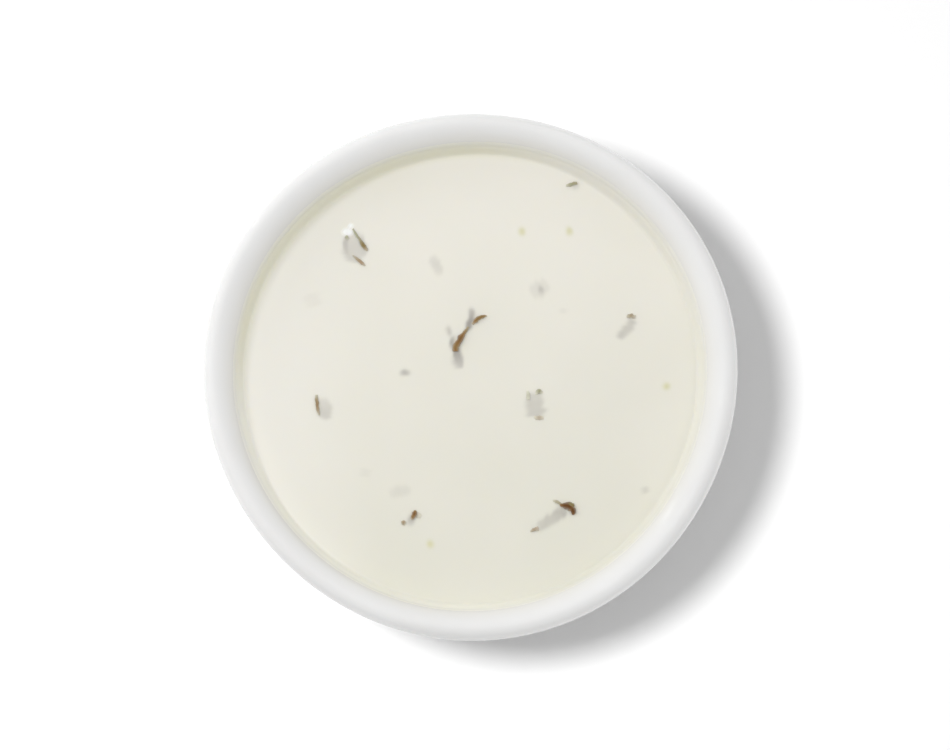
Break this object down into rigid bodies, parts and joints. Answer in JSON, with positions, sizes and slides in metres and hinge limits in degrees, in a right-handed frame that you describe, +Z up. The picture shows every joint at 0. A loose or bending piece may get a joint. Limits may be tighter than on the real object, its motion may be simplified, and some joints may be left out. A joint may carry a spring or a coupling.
{
  "type": "bowl of ranch dressing",
  "caption": "Small round white glazed bowl with a rounded lip, filled nearly to the top with pale creamy dressing flecked with dried herbs.",
  "frame": {"origin": "middle of the foot ring, on the table", "axes": "+Z up through the middle of the bowl, +X to the right and +Y away from the viewer in the picture"},
  "size_m": [0.08, 0.08, 0.034],
  "materials": {
    "glaze": "white glaze, glossy",
    "cream": "pale creamy dressing with dried herbs, soft sheen"
  },
  "bodies": {
    "root": {"bowl": "glaze", "dressing": "cream"}
  },
  "joints": []
}
